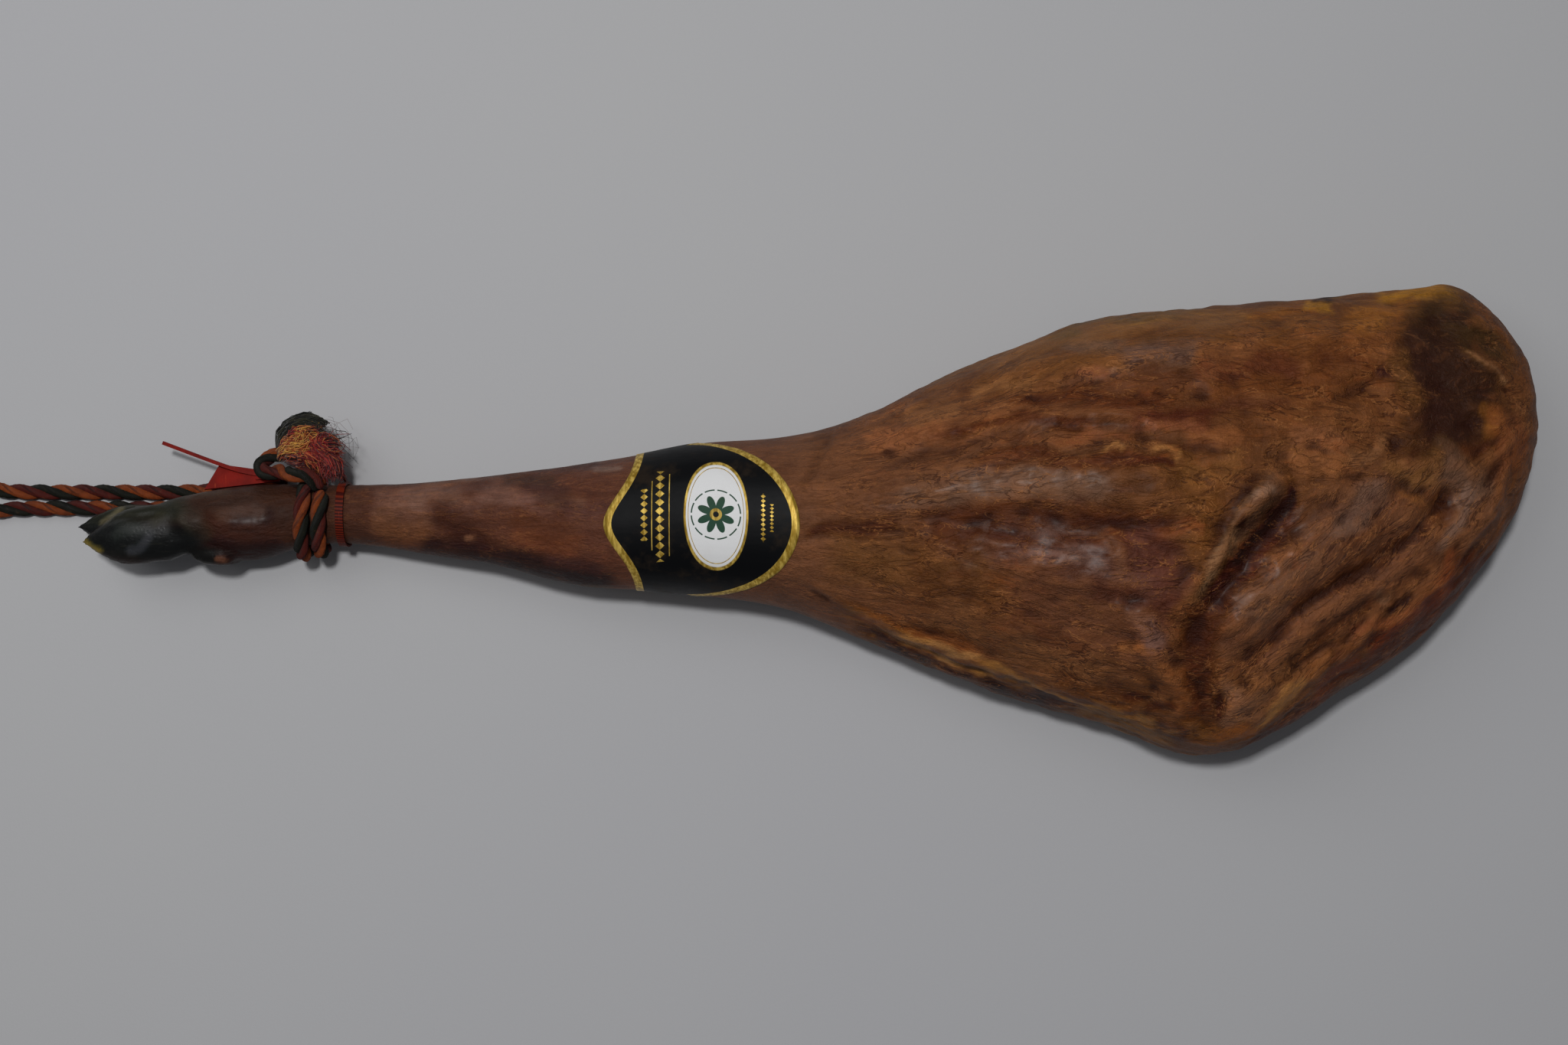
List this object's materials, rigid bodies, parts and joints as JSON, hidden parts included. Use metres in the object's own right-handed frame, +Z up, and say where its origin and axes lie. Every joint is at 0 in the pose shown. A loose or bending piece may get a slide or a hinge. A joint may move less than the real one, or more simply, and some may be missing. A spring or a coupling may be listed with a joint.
{
  "type": "cured ham",
  "caption": "Whole cured ham on the bone with its trotter, lying on its fat side, with a paper band round the hock, a twisted hanging rope and a plastic seal.",
  "frame": {"origin": "bottom centre of the box round the ham, band, tied rope and seal, without the free hanging loop", "axes": "+X along the leg from the claws to the rump, +Y across the leg towards its back edge, +Z up from the table"},
  "size_m": [0.9947, 0.2772, 0.1244],
  "materials": {
    "meat": "oily, brown, with darker and yellower patches",
    "label_paper": "black laminated paper with a gold foil border",
    "rope": "three twisted strands, orange-brown, maroon and black-green",
    "rope_fray": "frayed crimson, yellow and black fibres",
    "seal_plastic": "moulded red plastic"
  },
  "bodies": {
    "root": {"ham": "meat", "label_band": "label_paper", "rope_turns": "rope", "rope_knot": "rope", "rope_tail": "rope_fray", "rope_loop": "rope", "seal_tie": "seal_plastic"}
  },
  "joints": []
}
